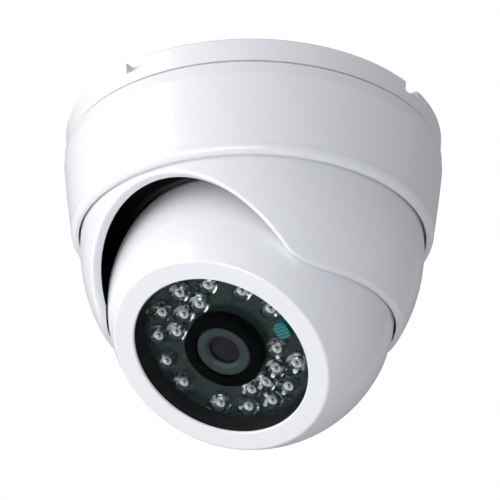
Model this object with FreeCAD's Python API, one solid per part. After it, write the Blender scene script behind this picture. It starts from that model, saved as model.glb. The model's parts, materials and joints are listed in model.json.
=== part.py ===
import FreeCAD, Part
import math
import os

# Ceiling dome camera, millimetres and degrees. The origin is the centre of the ceiling face,
# +Z points up into the ceiling and the eyeball faces -Y, so the whole camera lies below z = 0.

# How far a cutting tool runs past the face that it cuts, and the play around a screw.
CUT_PAST = 1.0
SCREW_PLAY = 0.2

# Base: a moulded disc with a rim, and a collar (the spigot) that carries the cover ring.
BASE_RADIUS = 47.5
BASE_EDGE_CHAMFER = 0.4
RIM_RADIUS = 47.0
RIM_INNER_RADIUS = 44.4
RIM_Z = -5.8
PLATE_THICKNESS = 2.6
SPIGOT_RADIUS = 43.6
SPIGOT_BORE = 41.4
SPIGOT_Z = -20.9
NOTCH_WIDTH = 5.5
NOTCH_HEIGHT = 3.0
NOTCH_FLOOR_RADIUS = 45.0
MOUNT_HOLE_RADIUS = 2.25
MOUNT_CIRCLE_RADIUS = 33.0
MOUNT_HOLE_COUNT = 3
MOUNT_PAD_RADIUS = 6.0
MOUNT_PAD_THICKNESS = 2.0
SCREW_HEAD_POCKET_RADIUS = 4.3
SCREW_HEAD_POCKET_DEPTH = 1.6
RIB_COUNT = 6
RIB_WIDTH = 1.6
RIB_HEIGHT = 1.6
RIB_START_RADIUS = 10.0
RIB_END_RADIUS = 41.3

# Cable grommet in the middle of the base.
GROMMET_BORE_RADIUS = 3.0
GROMMET_NECK_RADIUS = 5.0
GROMMET_FLANGE_RADIUS = 8.0
GROMMET_FLANGE_THICKNESS = 1.2
GROMMET_RECESS_CLEARANCE = 0.3
GROMMET_CHAMFER = 0.8

# Cover ring: a quarter-turn bayonet ring that closes over the base and holds the shroud.
RING_TOP_Z = -6.3
RING_RADIUS = 47.4
RING_EDGE_RADIUS = 0.4
RING_STRAIGHT_Z = -9.5
RING_BELLY = (46.35, -17.2)
RING_FOOT = (44.85, -26.4)
RING_FOOT_ROUND = (44.45, -28.0)
RING_BOTTOM_Z = -28.9
RING_BOTTOM_RADIUS = 43.5
RING_LIP_RADIUS = 42.85
RING_LIP_Z = -24.5
RING_BORE = 43.9
RING_RELIEF_RADIUS = 45.3
RING_RELIEF_Z = -12.5
LUG_COUNT = 3
LUG_FIRST_ANGLE = 30.0
LUG_HALF_ANGLE = 5.0
LUG_INNER_RADIUS = 42.45
LUG_TOP_Z = -14.3
LUG_BOTTOM_Z = -16.7
LUG_ROOT = 0.6
LUG_CLEARANCE = 0.3
CHANNEL_FLOOR_RADIUS = 42.15
CHANNEL_END_ANGLE = 0.8
TWIST_ANGLE = 20.0

# Rubber ring that brakes the shroud.
FRICTION_RING_RADIUS = 42.3
FRICTION_RING_THICKNESS = 1.2

# Shroud: collar, flange and a ball-shaped skirt with an arched opening at the front.
SHROUD_RADIUS = 42.3
SHROUD_CENTRE_Z = -30.1
SHROUD_INNER_RADIUS = 40.3
SHROUD_TOP_Z = -22.4
FLANGE_RADIUS = 43.5
FLANGE_THICKNESS = 1.8
SHROUD_BOTTOM_Z = -52.0
SHROUD_EDGE_ROUND = 0.45
ARCH_RADIUS = 28.2
ARCH_CENTRE_Z = -58.5
ARCH_CORNER_RADIUS = 4.7
ARCH_TURN = 2.0
ARCH_EDGE_FILLET = 0.7
ARCH_INNER_FILLET = 0.3
RETURN_LIP_RADIUS = 39.7
RETURN_LIP_WIDTH = 1.3
RETURN_LIP_ROOT = 0.5
ARCH_RUN_OUT = 10.0
LINER_BOSS_RADIUS = 2.6
LINER_BOSS_CIRCLE = 37.9
LINER_BOSS_BOTTOM_Z = -32.0
LINER_BOSS_FLOOR = 1.5
LINER_SCREW_TIP_Z = -30.0
LINER_SCREW_ANGLES = (0.0, 90.0, 180.0)
PIVOT_BOSS_RADIUS = 4.5
PIVOT_BOSS_OUTER_RADIUS = 41.5
PIVOT_BOSS_X = (30.0, 45.0)

# Black liner inside the shroud: a deck, a skirt and a cap over the back of the eyeball.
LINER_OUTER_RADIUS = 40.1
LINER_INNER_RADIUS = 38.9
LINER_TOP_Z = -22.6
LINER_DECK_Z = -24.1
CAP_INNER_RADIUS = 35.5
CAP_OUTER_RADIUS = 37.0
CAP_OPENING_RADIUS = 12.0
LINER_ARCH_OFFSET = 1.6
LINER_RIM_Z = -26.2
LINER_RIM_WIDTH = 1.3
LINER_RIM_CHAMFER = 0.35
LINER_BOSS_CLEARANCE = 0.3

# Eyeball: it tilts about a line parallel to X through the pivot.
BALL_RADIUS = 35.0
BALL_CLEARANCE_RADIUS = 35.4
BALL_WALL_RADIUS = 33.0
PIVOT_Z = -45.65
REST_TILT = 56.85
FACE_L = 22.66
FACE_OUTER_RADIUS = 26.2
FACE_ROUND_MIDDLE = (26.78, 22.5)
FACE_ROUND_START_L = 22.15
WINDOW_RADIUS = 21.71
WINDOW_EDGE_ROUND = 0.25
FRONT_BOSS_SKIN = 1.0
LIP_L = 21.96
SOCKET_RADIUS = 24.1
SOCKET_WALL_RADIUS = 25.6
SOCKET_END_L = 14.5
REAR_RADIUS = 34.85
REAR_WALL_RADIUS = 32.9
REAR_OPENING_RADIUS = 5.0
REAR_COLUMN_SKIN = 0.8
SEAL_INNER_RADIUS = 33.3
SEAL_OUTER_RADIUS = 34.2
SEAL_DEPTH = 1.0

# Tilt pivots.
PIN_RADIUS = 1.5
PIN_INNER_X = 28.3
PIN_OUTER_X = 38.3
PIN_BORE_RADIUS = 1.56
PIN_END_PLAY = 0.3
PIN_NOTCH_RADIUS = 1.8
BALL_BOSS_RADIUS = 4.0
BALL_BOSS_INNER_X = 26.5
BALL_BOSS_LIMIT_RADIUS = 32.7

# Screws that join the two halves of the eyeball.
SHELL_SCREW_ANGLES = (90.0, 210.0, 330.0)
SHELL_SCREW_CIRCLE = 27.5
SHELL_BOSS_RADIUS = 2.6
SHELL_BOSS_TOP_L = 16.0
REAR_COLUMN_RADIUS = 3.9
REAR_COLUMN_BORE = 2.8
REAR_COLUMN_FLOOR_L = -4.4
SHELL_SCREW_BORE_L = 9.0
SHELL_SCREW_TIP_L = 8.0

# Window stack, measured along the optical axis from the pivot.
GLASS_RADIUS = 23.2
GLASS_BACK_L = 20.96
WINDOW_SEAL_INNER_RADIUS = 21.75
WINDOW_SEAL_BACK_L = 20.3
BEZEL_TOP_RADIUS = 21.7
BEZEL_FOOT_RADIUS = 20.9
BOARD_TOP_L = 17.3
BOARD_THICKNESS = 1.6
IR_BOARD_RADIUS = 24.0
IR_BOARD_HOLE_RADIUS = 7.4
FOAM_INNER_RADIUS = 7.0
FOAM_OUTER_RADIUS = 9.6
FOAM_TOP_L = 20.6

# Infrared LEDs: an outer row, and two short inner rows that face each other.
LED_OUTER_CIRCLE = 17.3
LED_INNER_CIRCLE = 12.7
LED_OUTER_ANGLES = (20, 46, 74, 101, 128, 152, 176, 199, 233, 257, 280, 302, 327)
LED_INNER_ANGLES = (91, 116, 143, 268, 290, 314, 340)
LED_RADIUS = 2.4
LED_FLANGE_RADIUS = 2.58
LED_FLANGE_HEIGHT = 0.5
LED_BARREL_HEIGHT = 1.1
LED_HEIGHT = 3.2
LED_LEAD_SPACING = 2.54
SOLDER_FOOT_RADIUS = 0.9
SOLDER_TIP_RADIUS = 0.35
SOLDER_HEIGHT = 1.2
LIGHT_SENSOR_CIRCLE = 16.7
LIGHT_SENSOR_ANGLE = 1.0
LIGHT_SENSOR_RADIUS = 2.15
LIGHT_SENSOR_WIDTH = 3.6
LIGHT_SENSOR_HEIGHT = 2.1
RESISTOR_SIZE = (3.2, 1.6, 0.6)
RESISTOR_CIRCLE = 18.2
RESISTOR_ANGLES = (33, 60, 87, 140, 188, 245)
IR_SCREW_ANGLES = (30.0, 150.0, 270.0)
IR_SCREW_CIRCLE = 26.0
IR_SCREW_BOSS_RADIUS = 2.2
IR_SCREW_BOSS_TOP_L = 20.0
IR_SCREW_HEAD_PLAY = 0.3
IR_SCREW_TIP_L = 18.0

# Circuit boards behind the window.
SENSOR_BOARD_SIDE = 36.0
SENSOR_BOARD_BACK_L = 0.2
STANDOFF_PLACE = 15.4
STANDOFF_RADIUS = 2.0
STANDOFF_SPIGOT_RADIUS = 1.2
STANDOFF_BORE_DEPTH = 5.0
BOARD_SCREW_LENGTH = 4.0
CHIP_SIZES = ((9.0, 9.0, 1.0), (6.0, 5.0, 1.2), (4.0, 3.0, 1.0))
CHIP_PLACES = ((-6.5, 8.0), (6.0, 8.0), (5.0, -8.0))
SENSOR_SIDE = 8.0
SENSOR_THICKNESS = 1.2
PLUG_CIRCLE = 16.0
PLUG_ANGLE = 217.0
PLUG_SIZE = (3.2, 5.0, 4.0)
WIRE_RADIUS = 0.5
WIRE_PITCH = 1.5
WIRE_COUNT = 3

# Lens and its holder.
HOLDER_SIDE = 18.0
HOLDER_BASE_TOP_L = 5.0
HOLDER_TOP_L = 12.0
HOLDER_TUBE_RADIUS = 7.9
HOLDER_BORE = 6.02
HOLDER_CAVITY_SIDE = 11.0
HOLDER_CAVITY_TOP_L = 3.6
HOLDER_EAR_X = 11.0
HOLDER_EAR_RADIUS = 2.6
HOLDER_SCREW_TIP_L = 4.0
HOLDER_SCREW_BORE_L = 4.2
FILTER_SIDE = 8.6
FILTER_TOP_L = 4.1
LENS_THREAD_RADIUS = 5.96
LENS_BACK_L = 4.6
LENS_HEAD_L = 14.2
LENS_HEAD_RADIUS = 6.7
LENS_FRONT_L = 20.2
LENS_BORE = 4.6
LENS_LIP_RADIUS = 3.8
LENS_LIP_L = 19.2
LENS_CROWN_L = 20.0
LENS_EDGE = 0.3
LENS_CROWN_GAP = 0.1
LENS_ELEMENT_BACK_L = 16.4
REAR_ELEMENT_L = (5.6, 8.5)
REAR_ELEMENT_RISE = 0.7
REAR_ELEMENT_SHOULDER = 0.8
SPACER_WALL_RADIUS = 4.0
STOP_RADIUS = 1.2
STOP_L = (12.0, 12.6)
NUT_RADIUS = 8.4
NUT_L = (12.1, 13.8)
NUT_GRIP_COUNT = 16
NUT_GRIP_RADIUS = 0.7

# Small screws.
HEAD_ROUND_SHARE = 0.45
SMALL_HEAD_RADIUS = 2.3
SMALL_HEAD_HEIGHT = 1.4
SMALL_SHANK_RADIUS = 1.1
TINY_HEAD_RADIUS = 1.9
TINY_HEAD_HEIGHT = 1.2
TINY_SHANK_RADIUS = 0.9
DRIVE_SLOT_WIDTH = 0.6
DRIVE_SLOT_DEPTH = 0.6

X_AXIS = FreeCAD.Vector(1, 0, 0)
Z_AXIS = FreeCAD.Vector(0, 0, 1)
ORIGIN = FreeCAD.Vector(0, 0, 0)
SENSOR_BOARD_TOP_L = SENSOR_BOARD_BACK_L + BOARD_THICKNESS
BOARD_BACK_L = BOARD_TOP_L - BOARD_THICKNESS


def polar(radius, angle):
    turn = math.radians(angle)
    return radius * math.cos(turn), radius * math.sin(turn)


def circle_radius_at(sphere_radius, height):
    """Radius of the circle that a plane cuts from a sphere, height above the sphere's centre."""
    return math.sqrt(sphere_radius ** 2 - height ** 2)


def spheres_meet(radius_a, z_a, radius_b, z_b):
    """Radius and z of the circle where two spheres centred on the Z axis meet."""
    z = (radius_a ** 2 - radius_b ** 2 + z_b ** 2 - z_a ** 2) / (2 * (z_b - z_a))
    return circle_radius_at(radius_a, z - z_a), z


def on_sphere(radius, centre_z, z):
    return circle_radius_at(radius, z - centre_z), z


def between(radius, centre_z, first, last):
    """Point on a sphere's outline half way between two of its points."""
    start = math.atan2(first[1] - centre_z, first[0])
    end = math.atan2(last[1] - centre_z, last[0])
    middle = (start + end) / 2
    return radius * math.cos(middle), centre_z + radius * math.sin(middle)


def crown(rim_radius, rim_z, top_z):
    """Arc step from the rim of a spherical dome up to its top on the axis."""
    rise = top_z - rim_z
    radius = (rim_radius ** 2 + rise ** 2) / (2 * rise)
    centre_z = top_z - radius
    half = math.atan2(rim_radius, rim_z - centre_z) / 2
    return (radius * math.sin(half), centre_z + radius * math.cos(half)), (0, top_z)


def outline(start, *steps):
    """Closed wire in the XZ plane. A step is an end point, or a (middle, end) pair for an arc."""
    edges = []
    here = FreeCAD.Vector(start[0], 0, start[1])
    for step in steps + (start,):
        if isinstance(step[0], tuple):
            middle = FreeCAD.Vector(step[0][0], 0, step[0][1])
            there = FreeCAD.Vector(step[1][0], 0, step[1][1])
            edges.append(Part.Arc(here, middle, there).toShape())
        else:
            there = FreeCAD.Vector(step[0], 0, step[1])
            if there.distanceToPoint(here) < 1e-6:
                continue
            edges.append(Part.LineSegment(here, there).toShape())
        here = there
    return Part.Wire(edges)


def turned(start, *steps):
    """Solid of revolution about Z."""
    return Part.Face(outline(start, *steps)).revolve(ORIGIN, Z_AXIS, 360)


def tube(inner_radius, outer_radius, z_low, z_high):
    return rod(outer_radius, 0, 0, z_low, z_high).cut(rod(inner_radius, 0, 0, z_low, z_high))


def rod(radius, x, y, z_low, z_high):
    return Part.makeCylinder(radius, z_high - z_low, FreeCAD.Vector(x, y, z_low), Z_AXIS)


def cross_rod(radius, x_from, x_to, z=0.0):
    """Cylinder along X."""
    length = abs(x_to - x_from)
    direction = FreeCAD.Vector(math.copysign(1, x_to - x_from), 0, 0)
    return Part.makeCylinder(radius, length, FreeCAD.Vector(x_from, 0, z), direction)


def ball(radius, z):
    return Part.makeSphere(radius, FreeCAD.Vector(0, 0, z))


def block(x, y, size, z_low):
    """Upright box centred on x, y."""
    corner = FreeCAD.Vector(x - size[0] / 2, y - size[1] / 2, z_low)
    return Part.makeBox(size[0], size[1], size[2], corner)


def sector(inner_radius, outer_radius, z_low, z_high, angle_from, angle_to):
    wedge = Part.makeCylinder(outer_radius, z_high - z_low, FreeCAD.Vector(0, 0, z_low), Z_AXIS,
                              angle_to - angle_from)
    wedge.rotate(ORIGIN, Z_AXIS, angle_from)
    return wedge.cut(rod(inner_radius, 0, 0, z_low, z_high))


def screw(x, y, seat, tip, head_radius, head_height, shank_radius):
    """Pan-head screw along Z with a slot; the head sits on seat and the shank runs to tip."""
    away = math.copysign(1, seat - tip)
    crown = seat + away * head_height
    head = rod(head_radius, x, y, min(seat, crown), max(seat, crown))
    rim = [edge for edge in head.Edges if abs(edge.BoundBox.Center.z - crown) < 1e-6
           and edge.BoundBox.ZLength < 1e-6]
    head = head.makeFillet(head_height * HEAD_ROUND_SHARE, rim)
    slot_floor = crown - away * DRIVE_SLOT_DEPTH
    slot_size = (2 * head_radius, DRIVE_SLOT_WIDTH, DRIVE_SLOT_DEPTH)
    head = head.cut(block(x, y, slot_size, min(slot_floor, crown)))
    return head.fuse(rod(shank_radius, x, y, min(seat, tip), max(seat, tip))).removeSplitter()


def small_screw(x, y, seat, tip):
    return screw(x, y, seat, tip, SMALL_HEAD_RADIUS, SMALL_HEAD_HEIGHT, SMALL_SHANK_RADIUS)


def tiny_screw(x, y, seat, tip):
    return screw(x, y, seat, tip, TINY_HEAD_RADIUS, TINY_HEAD_HEIGHT, TINY_SHANK_RADIUS)


def group(solids):
    return Part.makeCompound(list(solids))


def in_eyeball(shape):
    """Move a shape from the eyeball's own frame (Z is the optical axis) to its place at rest."""
    shape.rotate(ORIGIN, X_AXIS, 90 + REST_TILT)
    shape.translate(FreeCAD.Vector(0, 0, PIVOT_Z))
    return shape


def mount_places():
    spacing = 360 / MOUNT_HOLE_COUNT
    return [polar(MOUNT_CIRCLE_RADIUS, 90 + spacing * i) for i in range(MOUNT_HOLE_COUNT)]


def lug_angles():
    return [LUG_FIRST_ANGLE + 360 * i / LUG_COUNT for i in range(LUG_COUNT)]


def base_plate():
    recess_radius = GROMMET_FLANGE_RADIUS + GROMMET_RECESS_CLEARANCE
    body = turned((GROMMET_NECK_RADIUS, -GROMMET_FLANGE_THICKNESS),
                  (recess_radius, -GROMMET_FLANGE_THICKNESS),
                  (recess_radius, 0),
                  (BASE_RADIUS - BASE_EDGE_CHAMFER, 0),
                  (BASE_RADIUS, -BASE_EDGE_CHAMFER),
                  (RIM_RADIUS, RIM_Z),
                  (RIM_INNER_RADIUS, RIM_Z),
                  (RIM_INNER_RADIUS, -PLATE_THICKNESS),
                  (GROMMET_NECK_RADIUS, -PLATE_THICKNESS))
    rib_length = RIB_END_RADIUS - RIB_START_RADIUS
    for i in range(RIB_COUNT):
        rib = Part.makeBox(rib_length, RIB_WIDTH, RIB_HEIGHT,
                           FreeCAD.Vector(RIB_START_RADIUS, -RIB_WIDTH / 2, -PLATE_THICKNESS - RIB_HEIGHT))
        rib.rotate(ORIGIN, Z_AXIS, 360 * i / RIB_COUNT)
        body = body.fuse(rib)
    pad_z = -PLATE_THICKNESS - MOUNT_PAD_THICKNESS
    for x, y in mount_places():
        body = body.fuse(rod(MOUNT_PAD_RADIUS, x, y, pad_z, -PLATE_THICKNESS))
    for x, y in mount_places():
        body = body.cut(rod(MOUNT_HOLE_RADIUS, x, y, pad_z - CUT_PAST, CUT_PAST))
        body = body.cut(rod(SCREW_HEAD_POCKET_RADIUS, x, y, pad_z - CUT_PAST,
                            pad_z + SCREW_HEAD_POCKET_DEPTH))
    for i in range(4):
        notch = Part.makeBox(BASE_RADIUS, NOTCH_WIDTH, NOTCH_HEIGHT + CUT_PAST,
                             FreeCAD.Vector(NOTCH_FLOOR_RADIUS, -NOTCH_WIDTH / 2, -NOTCH_HEIGHT))
        notch.rotate(ORIGIN, Z_AXIS, 90 * i)
        body = body.cut(notch)
    return body.removeSplitter()


def bayonet_collar():
    body = tube(SPIGOT_BORE, SPIGOT_RADIUS, SPIGOT_Z, -PLATE_THICKNESS)
    for angle in lug_angles():
        low = angle - LUG_HALF_ANGLE - CHANNEL_END_ANGLE
        high = angle + LUG_HALF_ANGLE + CHANNEL_END_ANGLE
        track = sector(CHANNEL_FLOOR_RADIUS, SPIGOT_RADIUS + CUT_PAST, LUG_BOTTOM_Z - LUG_CLEARANCE,
                       LUG_TOP_Z + LUG_CLEARANCE, low, high + TWIST_ANGLE)
        entry = sector(CHANNEL_FLOOR_RADIUS, SPIGOT_RADIUS + CUT_PAST, SPIGOT_Z - CUT_PAST,
                       LUG_TOP_Z + LUG_CLEARANCE, low + TWIST_ANGLE, high + TWIST_ANGLE)
        body = body.cut(track.fuse(entry))
    return body.removeSplitter()


def cable_grommet():
    flange_z = -GROMMET_FLANGE_THICKNESS
    under_z = -PLATE_THICKNESS - GROMMET_FLANGE_THICKNESS
    return turned((GROMMET_BORE_RADIUS, 0),
                  (GROMMET_FLANGE_RADIUS, 0),
                  (GROMMET_FLANGE_RADIUS, flange_z),
                  (GROMMET_NECK_RADIUS, flange_z),
                  (GROMMET_NECK_RADIUS, -PLATE_THICKNESS),
                  (GROMMET_FLANGE_RADIUS, -PLATE_THICKNESS),
                  (GROMMET_FLANGE_RADIUS - GROMMET_CHAMFER, under_z),
                  (GROMMET_BORE_RADIUS, under_z))


def friction_ring():
    return tube(SPIGOT_BORE, FRICTION_RING_RADIUS, SPIGOT_Z - FRICTION_RING_THICKNESS, SPIGOT_Z)


def lock_ring():
    corner = RING_EDGE_RADIUS * (1 - math.sqrt(0.5))
    corner_middle = (RING_RADIUS - corner, RING_TOP_Z - corner)
    body = turned((RING_RELIEF_RADIUS, RING_TOP_Z),
                  (RING_RADIUS - RING_EDGE_RADIUS, RING_TOP_Z),
                  (corner_middle, (RING_RADIUS, RING_TOP_Z - RING_EDGE_RADIUS)),
                  (RING_RADIUS, RING_STRAIGHT_Z),
                  (RING_BELLY, RING_FOOT),
                  (RING_FOOT_ROUND, (RING_BOTTOM_RADIUS, RING_BOTTOM_Z)),
                  (RING_LIP_RADIUS, RING_BOTTOM_Z),
                  (RING_LIP_RADIUS, RING_LIP_Z),
                  (RING_BORE, RING_LIP_Z),
                  (RING_BORE, RING_RELIEF_Z - RING_RELIEF_RADIUS + RING_BORE),
                  (RING_RELIEF_RADIUS, RING_RELIEF_Z))
    for angle in lug_angles():
        body = body.fuse(sector(LUG_INNER_RADIUS, RING_BORE + LUG_ROOT, LUG_BOTTOM_Z, LUG_TOP_Z,
                                angle - LUG_HALF_ANGLE, angle + LUG_HALF_ANGLE))
    return body.removeSplitter()


def arch_prism(offset=0.0):
    """Space below the arch, run from the middle of the shroud out through its front."""
    radius = ARCH_RADIUS + offset
    corner = ARCH_CORNER_RADIUS - offset
    corner_z = SHROUD_BOTTOM_Z + ARCH_CORNER_RADIUS
    corner_x = math.sqrt((radius + corner) ** 2 - (corner_z - ARCH_CENTRE_Z) ** 2)
    touch = (corner_x * radius / (radius + corner),
             ARCH_CENTRE_Z + (corner_z - ARCH_CENTRE_Z) * radius / (radius + corner))
    round_start = math.atan2(touch[1] - corner_z, touch[0] - corner_x) + 2 * math.pi
    round_middle = (round_start + 1.5 * math.pi) / 2
    middle = (corner_x + corner * math.cos(round_middle), corner_z + corner * math.sin(round_middle))
    foot = (corner_x, corner_z - corner)
    floor_z = SHROUD_BOTTOM_Z - ARCH_RUN_OUT
    wire = outline((foot[0], floor_z),
                   foot,
                   (middle, touch),
                   ((0, ARCH_CENTRE_Z + radius), (-touch[0], touch[1])),
                   ((-middle[0], middle[1]), (-foot[0], foot[1])),
                   (-foot[0], floor_z))
    prism = Part.Face(wire).extrude(FreeCAD.Vector(0, -SHROUD_RADIUS - ARCH_RUN_OUT, 0))
    prism.rotate(ORIGIN, Z_AXIS, ARCH_TURN)
    return prism


def arch_edges(body, opening, skin_radius):
    """Edges where the arch meets one of the shroud's ball-shaped surfaces."""
    edges = []
    for edge in body.Edges:
        middle = edge.valueAt((edge.FirstParameter + edge.LastParameter) / 2)
        from_centre = middle.sub(FreeCAD.Vector(0, 0, SHROUD_CENTRE_Z)).Length
        on_skin = abs(from_centre - skin_radius) < 1e-3
        on_arch = opening.distToShape(Part.Vertex(middle))[0] < 1e-3
        if on_skin and on_arch and middle.z > SHROUD_BOTTOM_Z + SHROUD_EDGE_ROUND + 1e-3:
            edges.append(edge)
    return edges


def shroud():
    outer_foot = on_sphere(SHROUD_RADIUS, SHROUD_CENTRE_Z, SHROUD_BOTTOM_Z + SHROUD_EDGE_ROUND)
    inner_foot = on_sphere(BALL_CLEARANCE_RADIUS, PIVOT_Z, SHROUD_BOTTOM_Z)
    meeting = spheres_meet(SHROUD_INNER_RADIUS, SHROUD_CENTRE_Z, BALL_CLEARANCE_RADIUS, PIVOT_Z)
    shoulder = (SHROUD_RADIUS, SHROUD_CENTRE_Z)
    inner_shoulder = (SHROUD_INNER_RADIUS, SHROUD_CENTRE_Z)
    flange_z = SHROUD_TOP_Z - FLANGE_THICKNESS
    edge = on_sphere(SHROUD_RADIUS, SHROUD_CENTRE_Z, SHROUD_BOTTOM_Z)
    body = turned((SHROUD_INNER_RADIUS, SHROUD_TOP_Z),
                  (FLANGE_RADIUS, SHROUD_TOP_Z),
                  (FLANGE_RADIUS, flange_z),
                  (SHROUD_RADIUS, flange_z),
                  shoulder,
                  (between(SHROUD_RADIUS, SHROUD_CENTRE_Z, shoulder, outer_foot), outer_foot),
                  (edge[0] - SHROUD_EDGE_ROUND, SHROUD_BOTTOM_Z),
                  inner_foot,
                  (between(BALL_CLEARANCE_RADIUS, PIVOT_Z, inner_foot, meeting), meeting),
                  (between(SHROUD_INNER_RADIUS, SHROUD_CENTRE_Z, meeting, inner_shoulder), inner_shoulder))
    opening = arch_prism()
    room = ball(BALL_CLEARANCE_RADIUS, PIVOT_Z)
    lip = ball(SHROUD_INNER_RADIUS + RETURN_LIP_ROOT, SHROUD_CENTRE_Z)
    lip = lip.cut(ball(RETURN_LIP_RADIUS, SHROUD_CENTRE_Z))
    lip = lip.common(arch_prism(RETURN_LIP_WIDTH)).cut(room)
    lip = lip.common(rod(FLANGE_RADIUS, 0, 0, SHROUD_BOTTOM_Z, SHROUD_TOP_Z))
    body = body.fuse(lip).cut(opening).removeSplitter()
    body = body.makeFillet(ARCH_EDGE_FILLET, arch_edges(body, opening, SHROUD_RADIUS))
    body = body.makeFillet(ARCH_INNER_FILLET, arch_edges(body, opening, RETURN_LIP_RADIUS))
    solid_wall = ball(PIVOT_BOSS_OUTER_RADIUS, SHROUD_CENTRE_Z)
    for side in (-1, 1):
        boss = cross_rod(PIVOT_BOSS_RADIUS, side * PIVOT_BOSS_X[0], side * PIVOT_BOSS_X[1], PIVOT_Z)
        body = body.fuse(boss.common(solid_wall).cut(room))
    for angle in LINER_SCREW_ANGLES:
        x, y = polar(LINER_BOSS_CIRCLE, angle)
        body = body.fuse(rod(LINER_BOSS_RADIUS, x, y, LINER_BOSS_BOTTOM_Z, LINER_DECK_Z))
    for side in (-1, 1):
        body = body.cut(cross_rod(PIN_RADIUS, side * PIVOT_BOSS_X[0], side * PIN_OUTER_X, PIVOT_Z))
    for angle in LINER_SCREW_ANGLES:
        x, y = polar(LINER_BOSS_CIRCLE, angle)
        body = body.cut(rod(SMALL_SHANK_RADIUS, x, y, LINER_BOSS_BOTTOM_Z + LINER_BOSS_FLOOR, LINER_DECK_Z))
    return body.removeSplitter()


def shroud_liner():
    cap_inner_top = (CAP_OPENING_RADIUS, PIVOT_Z + circle_radius_at(CAP_INNER_RADIUS, CAP_OPENING_RADIUS))
    cap_outer_top = (CAP_OPENING_RADIUS, PIVOT_Z + circle_radius_at(CAP_OUTER_RADIUS, CAP_OPENING_RADIUS))
    cap_inner_foot = on_sphere(CAP_INNER_RADIUS, PIVOT_Z, LINER_RIM_Z)
    rim_outer_radius = cap_inner_foot[0] + LINER_RIM_WIDTH
    cap_outer_foot = on_sphere(CAP_OUTER_RADIUS, PIVOT_Z, LINER_TOP_Z)
    inner_shoulder = (LINER_INNER_RADIUS, SHROUD_CENTRE_Z)
    outer_shoulder = (LINER_OUTER_RADIUS, SHROUD_CENTRE_Z)
    inner_foot = spheres_meet(LINER_INNER_RADIUS, SHROUD_CENTRE_Z, CAP_INNER_RADIUS, PIVOT_Z)
    outer_foot = spheres_meet(LINER_OUTER_RADIUS, SHROUD_CENTRE_Z, CAP_INNER_RADIUS, PIVOT_Z)
    body = turned(cap_inner_top,
                  (between(CAP_INNER_RADIUS, PIVOT_Z, cap_inner_top, cap_inner_foot), cap_inner_foot),
                  (rim_outer_radius - LINER_RIM_CHAMFER, LINER_RIM_Z),
                  (rim_outer_radius, LINER_RIM_Z + LINER_RIM_CHAMFER),
                  (rim_outer_radius, LINER_DECK_Z),
                  (LINER_INNER_RADIUS, LINER_DECK_Z),
                  inner_shoulder,
                  (between(LINER_INNER_RADIUS, SHROUD_CENTRE_Z, inner_shoulder, inner_foot), inner_foot),
                  (between(CAP_INNER_RADIUS, PIVOT_Z, inner_foot, outer_foot), outer_foot),
                  (between(LINER_OUTER_RADIUS, SHROUD_CENTRE_Z, outer_foot, outer_shoulder),
                   outer_shoulder),
                  (LINER_OUTER_RADIUS, LINER_TOP_Z),
                  cap_outer_foot,
                  (between(CAP_OUTER_RADIUS, PIVOT_Z, cap_outer_foot, cap_outer_top), cap_outer_top))
    body = body.cut(arch_prism(LINER_ARCH_OFFSET))
    for side in (-1, 1):
        body = body.cut(cross_rod(PIVOT_BOSS_RADIUS + LINER_BOSS_CLEARANCE,
                                  side * PIVOT_BOSS_X[0], side * PIVOT_BOSS_X[1], PIVOT_Z))
    for angle in LINER_SCREW_ANGLES:
        x, y = polar(LINER_BOSS_CIRCLE, angle)
        body = body.cut(rod(LINER_BOSS_RADIUS + LINER_BOSS_CLEARANCE, x, y,
                            LINER_BOSS_BOTTOM_Z - LINER_BOSS_CLEARANCE, LINER_DECK_Z))
        body = body.cut(rod(SMALL_SHANK_RADIUS + SCREW_PLAY, x, y,
                            LINER_DECK_Z - CUT_PAST, LINER_TOP_Z + CUT_PAST))
    return body.removeSplitter()


def liner_screws():
    places = [polar(LINER_BOSS_CIRCLE, angle) for angle in LINER_SCREW_ANGLES]
    return group(small_screw(x, y, LINER_TOP_Z, LINER_SCREW_TIP_Z) for x, y in places)


def pivot_pins():
    return group(cross_rod(PIN_RADIUS, side * PIN_INNER_X, side * PIN_OUTER_X, PIVOT_Z) for side in (-1, 1))


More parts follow.
